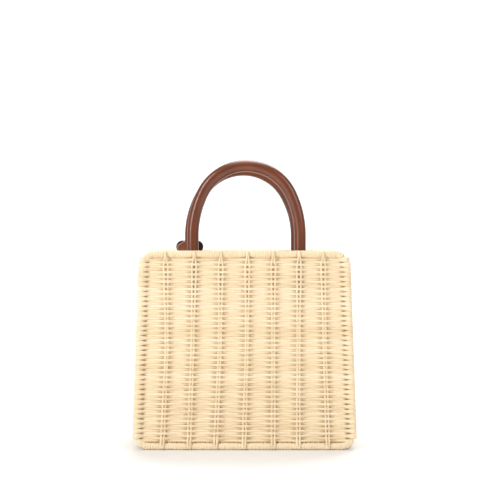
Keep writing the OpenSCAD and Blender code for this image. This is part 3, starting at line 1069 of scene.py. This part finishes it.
def tab_outline(length, long_side=0):
    """Outline of a layer as (across, up) points, with up = 0 at the top of its head.

    The head is round, or slanted with its long flank towards -X (-1) or +X (1)."""
    corner = TAB_W / 2 - TAB_CORNER_R
    foot = [
        (corner + TAB_CORNER_R * math.cos(a), TAB_CORNER_R * (1 + math.sin(a)) - length)
        for a in np.linspace(0, -math.pi / 2, FOOT_ARC_POINTS)
    ]
    foot += [(-u, v) for u, v in foot[::-1]]
    if long_side:
        flanks = [[(u * MM, v * MM) for u, v in flank] for flank in (STEEP_FLANK, LONG_FLANK)]
        line = np.array(flanks[0] + foot + flanks[1])
        return line if long_side < 0 else line[::-1] * (-1, 1)
    head_r = TAB_HEAD_H / 2
    head_x = TAB_HEAD_W / 2 - head_r
    waist = -math.acos((TAB_W / 2 - head_x) / head_r)
    head = [
        (head_x + head_r * math.cos(a), head_r * math.sin(a) - head_r)
        for a in np.linspace(math.pi / 2, waist, HEAD_ARC_POINTS)
    ]
    return np.array(head + foot + [(-u, v) for u, v in head[::-1]])


print("tabs", round(TAB_W / MM), "mm wide,", round(TAB_HEAD_W / MM, 1), "mm at a round head")

# %% [markdown]
# A cut sheet of leather has soft edges, so the outline becomes a stack of rings that step in
# and round off towards both faces. The edge of a tab keeps the raw, paler colour that a knife
# leaves, lightened further as a painted highlight of a lit edge, so its faces take a second
# material.

# %% Cut layers
EDGE_ROUND = 0.6 * MM
EDGE_INSET = EDGE_ROUND * np.array([1, 0.3, 0, 0, 0.3, 1])
EDGE_DEPTH = EDGE_ROUND * np.array([0, 0.7, 1])


def layer_rings(low, high, long_side):
    """Vertices of the rings between a layer's two faces, and the points on each ring."""
    outline = tab_outline(high[2] - low[2], long_side)
    step = np.roll(outline, -1, 0) - np.roll(outline, 1, 0)
    inward = np.stack([step[:, 1], -step[:, 0]], -1) / np.linalg.norm(step, axis=1)[:, None]
    levels = np.concatenate([low[1] + EDGE_DEPTH, high[1] - EDGE_DEPTH[::-1]])
    verts = []
    for inset, y in zip(EDGE_INSET, levels):
        ring = outline + inset * inward
        verts += [((low[0] + high[0]) / 2 + u, y, high[2] + v) for u, v in ring]
    return verts, len(outline)


def cut_layer(name, node, material, long_side=0):
    """A leather layer with rounded edges in the place of a packed tab or backing."""
    low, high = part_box(node)
    verts, count = layer_rings(low, high, long_side)
    faces = [tuple(range(count - 1, -1, -1)), tuple(range(len(verts) - count, len(verts)))]
    for ring in range(len(EDGE_INSET) - 1):
        for n in range(count):
            a, b = ring * count + n, ring * count + (n + 1) % count
            faces.append((a, b, b + count, a + count))
    edges = len(faces) - 2
    mesh = bpy.data.meshes.new(name)
    mesh.from_pydata(verts, [], faces)
    mesh.materials.append(material)
    mesh.materials.append(cut_edge_with_painted_highlight)
    # Only a tab's edge takes the pale edge material, which is partly a painted highlight.
    mesh.polygons.foreach_set("material_index", [0, 0] + [1 if long_side else 0] * edges)
    mesh.polygons.foreach_set("use_smooth", [False, False] + [True] * edges)
    layer = bpy.data.objects.new(name, mesh)
    bpy.context.collection.objects.link(layer)
    print(name, "has", len(faces), "faces")
    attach(layer, "basket")
    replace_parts(layer, node)
    return layer


for place in ("front", "rear"):
    for side, turn in (("left", -1), ("right", 1)):
        cut_layer(f"{place}_{side}_sewn_tab", f"{place}_{side}_tab", tab_leather, turn)
        # The back layer's near-black colour is partly painted shade for the shadow beside the tab.
        cut_layer(f"{place}_{side}_back_layer", f"{place}_{side}_backing", backing_with_painted_shade)

# %% [markdown]
# Two rows of stitches hold the leather together: one round the edge of each tab, through
# both layers and the weave, and one round the tongue. They use the same short strands as the
# handles, along lines that lie a little inside the two outlines.

# %% Tab stitches
TAB_SEAM = 2.6 * MM
TONGUE_SEAM = 2.0 * MM
TONGUE_END_TURNS = np.linspace(0, -math.pi, 15)


def tab_seam(place, side, turn, facing):
    """Stitch line inside a tab's outline, on the face towards the middle of the bag."""
    low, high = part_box(f"{place}_{side}_tab")
    outline = tab_outline(high[2] - low[2], turn)
    middle = (outline.min(0) + outline.max(0)) / 2
    shrink = 1 - 2 * TAB_SEAM / (outline.max(0) - outline.min(0))
    inset = middle + (outline - middle) * shrink
    u, v = np.concatenate([inset, inset[:1]]).T
    face = low[1] if facing > 0 else high[1]
    return np.stack([(low[0] + high[0]) / 2 + u, np.full(len(u), face), high[2] + v], -1)


def tongue_seam(place, side, facing):
    """Stitch line down, round the lower end and up the tongue."""
    low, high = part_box(f"{place}_{side}_leg_end")
    tab_low, tab_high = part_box(f"{place}_{side}_tab")
    x = (low[0] + high[0]) / 2
    face = tab_low[1] - TONGUE_T if facing > 0 else tab_high[1] + TONGUE_T
    r = TONGUE_W / 2 - TONGUE_SEAM
    top = rim_z - THROAT_TOP - THROAT_H
    bend_z = low[2] + TONGUE_W / 2
    bend = [(r * math.cos(a), bend_z + r * math.sin(a)) for a in TONGUE_END_TURNS]
    return np.array([(x + u, face, z) for u, z in [(r, top), *bend, (-r, top)]])


for place, facing in (("front", -1), ("rear", 1)):
    for side, turn in (("left", -1), ("right", 1)):
        seams = tab_seam(place, side, turn, facing), tongue_seam(place, side, facing)
        stitches = sum([stitch_row(line, STITCH_MM, STITCH_GAP_MM) for line in seams], [])
        strand_piece(f"{place}_{side}_tab_stitches", stitches, sewing_thread)

# %% [markdown]
# ## Studio
#
# The bag stands on white seamless paper that curves up into a backdrop, so no horizon shows.
# Two planes would meet in a visible line. The sizes are in metres, far larger than the bag.

# %% Floor and backdrop
FLOOR_HALF = 3.0
FLOOR_FRONT = -4.0
CURVE_START = 1.5
CURVE_R = 0.8
BACKDROP_TOP = 3.0
CURVE_POINTS = 16
PAPER_ROUGHNESS = 0.9

# Matt white paper: it scatters light all ways, so the bag gets a soft light from below.
floor_material, _, floor_skin = new_material("White seamless paper")
floor_skin.inputs["Base Color"].default_value = linear("#F2F2F2")
floor_skin.inputs["Roughness"].default_value = PAPER_ROUGHNESS

sweep_line = [(FLOOR_FRONT, 0.0)]
for a in np.radians(np.linspace(0, 90, CURVE_POINTS)):
    sweep_line.append((CURVE_START + CURVE_R * math.sin(a), CURVE_R - CURVE_R * math.cos(a)))
sweep_line.append((CURVE_START + CURVE_R, BACKDROP_TOP))
paper_verts = [(x, y, z) for y, z in sweep_line for x in (-FLOOR_HALF, FLOOR_HALF)]
paper_faces = [(2 * n, 2 * n + 1, 2 * n + 3, 2 * n + 2) for n in range(len(sweep_line) - 1)]
paper_mesh = bpy.data.meshes.new("white_paper")
paper_mesh.from_pydata(paper_verts, [], paper_faces)
paper_mesh.polygons.foreach_set("use_smooth", [True] * len(paper_faces))
paper_mesh.materials.append(floor_material)
paper = bpy.data.objects.new("white_paper", paper_mesh)
bpy.context.collection.objects.link(paper)
print("paper of", len(paper_faces), "faces,", 2 * FLOOR_HALF, "m wide")

# %% [markdown]
# A tall, narrow light from the left draws long streaks on the handles. Wider and weaker ones
# from the right and from above soften the shadows, a strong one behind the bag whitens the
# backdrop, and a pale world lifts what is left. The standard view transform keeps the white
# paper white.

# %% Lights
WORLD_STRENGTH = 0.27

world = bpy.data.worlds.new("pale studio")
world.use_nodes = True
sky = world.node_tree.nodes["Background"]
sky.inputs["Color"].default_value = linear("#FFFFFF")
sky.inputs["Strength"].default_value = WORLD_STRENGTH
bpy.context.scene.world = world
bpy.context.scene.view_settings.view_transform = "Standard"


def soft_light(name, place, aim, width, height, watts):
    """A rectangular area light at a place, turned towards a point."""
    data = bpy.data.lights.new(name, "AREA")
    data.energy = watts
    data.shape = "RECTANGLE"
    data.size = width
    data.size_y = height
    lamp = bpy.data.objects.new(name, data)
    lamp.location = place
    away = np.array(place) - np.array(aim)
    lamp.rotation_euler = (
        math.acos(away[2] / np.linalg.norm(away)),
        0,
        math.atan2(away[1], away[0]) + math.pi / 2,
    )
    bpy.context.collection.objects.link(lamp)
    print(name, "of", watts, "W,", width, "by", height, "m")


soft_light("key light", (-1.2, -1.0, 0.85), (0, 0, 0.2), width=0.22, height=1.4, watts=17)
soft_light("fill light", (1.3, -1.0, 0.9), (0, 0, 0.12), width=1.0, height=1.0, watts=7.5)
soft_light("top light", (0, -0.5, 1.6), (0, 0, 0.12), width=0.8, height=0.8, watts=4.5)
soft_light("back light", (0.2, 1.0, 2.2), (0, 1.2, 0.2), width=1.6, height=1.6, watts=50)

# %% [markdown]
# The camera stands a little above the rim and looks level, as in the photograph, so the sides
# of the trapezoid keep their slant and nothing of the inside shows.

# %% Camera
LENS_MM = 84.4
SENSOR_MM = 36
CAMERA_PLACE = (-4.5 * MM, -1.146, 205 * MM)

camera_data = bpy.data.cameras.new("camera")
camera_data.lens = LENS_MM
camera_data.sensor_width = SENSOR_MM
camera = bpy.data.objects.new("camera", camera_data)
camera.location = CAMERA_PLACE
camera.rotation_euler = (math.pi / 2, 0, 0)
bpy.context.collection.objects.link(camera)
bpy.context.scene.camera = camera
print("camera", round(-CAMERA_PLACE[1], 2), "m in front of the bag")
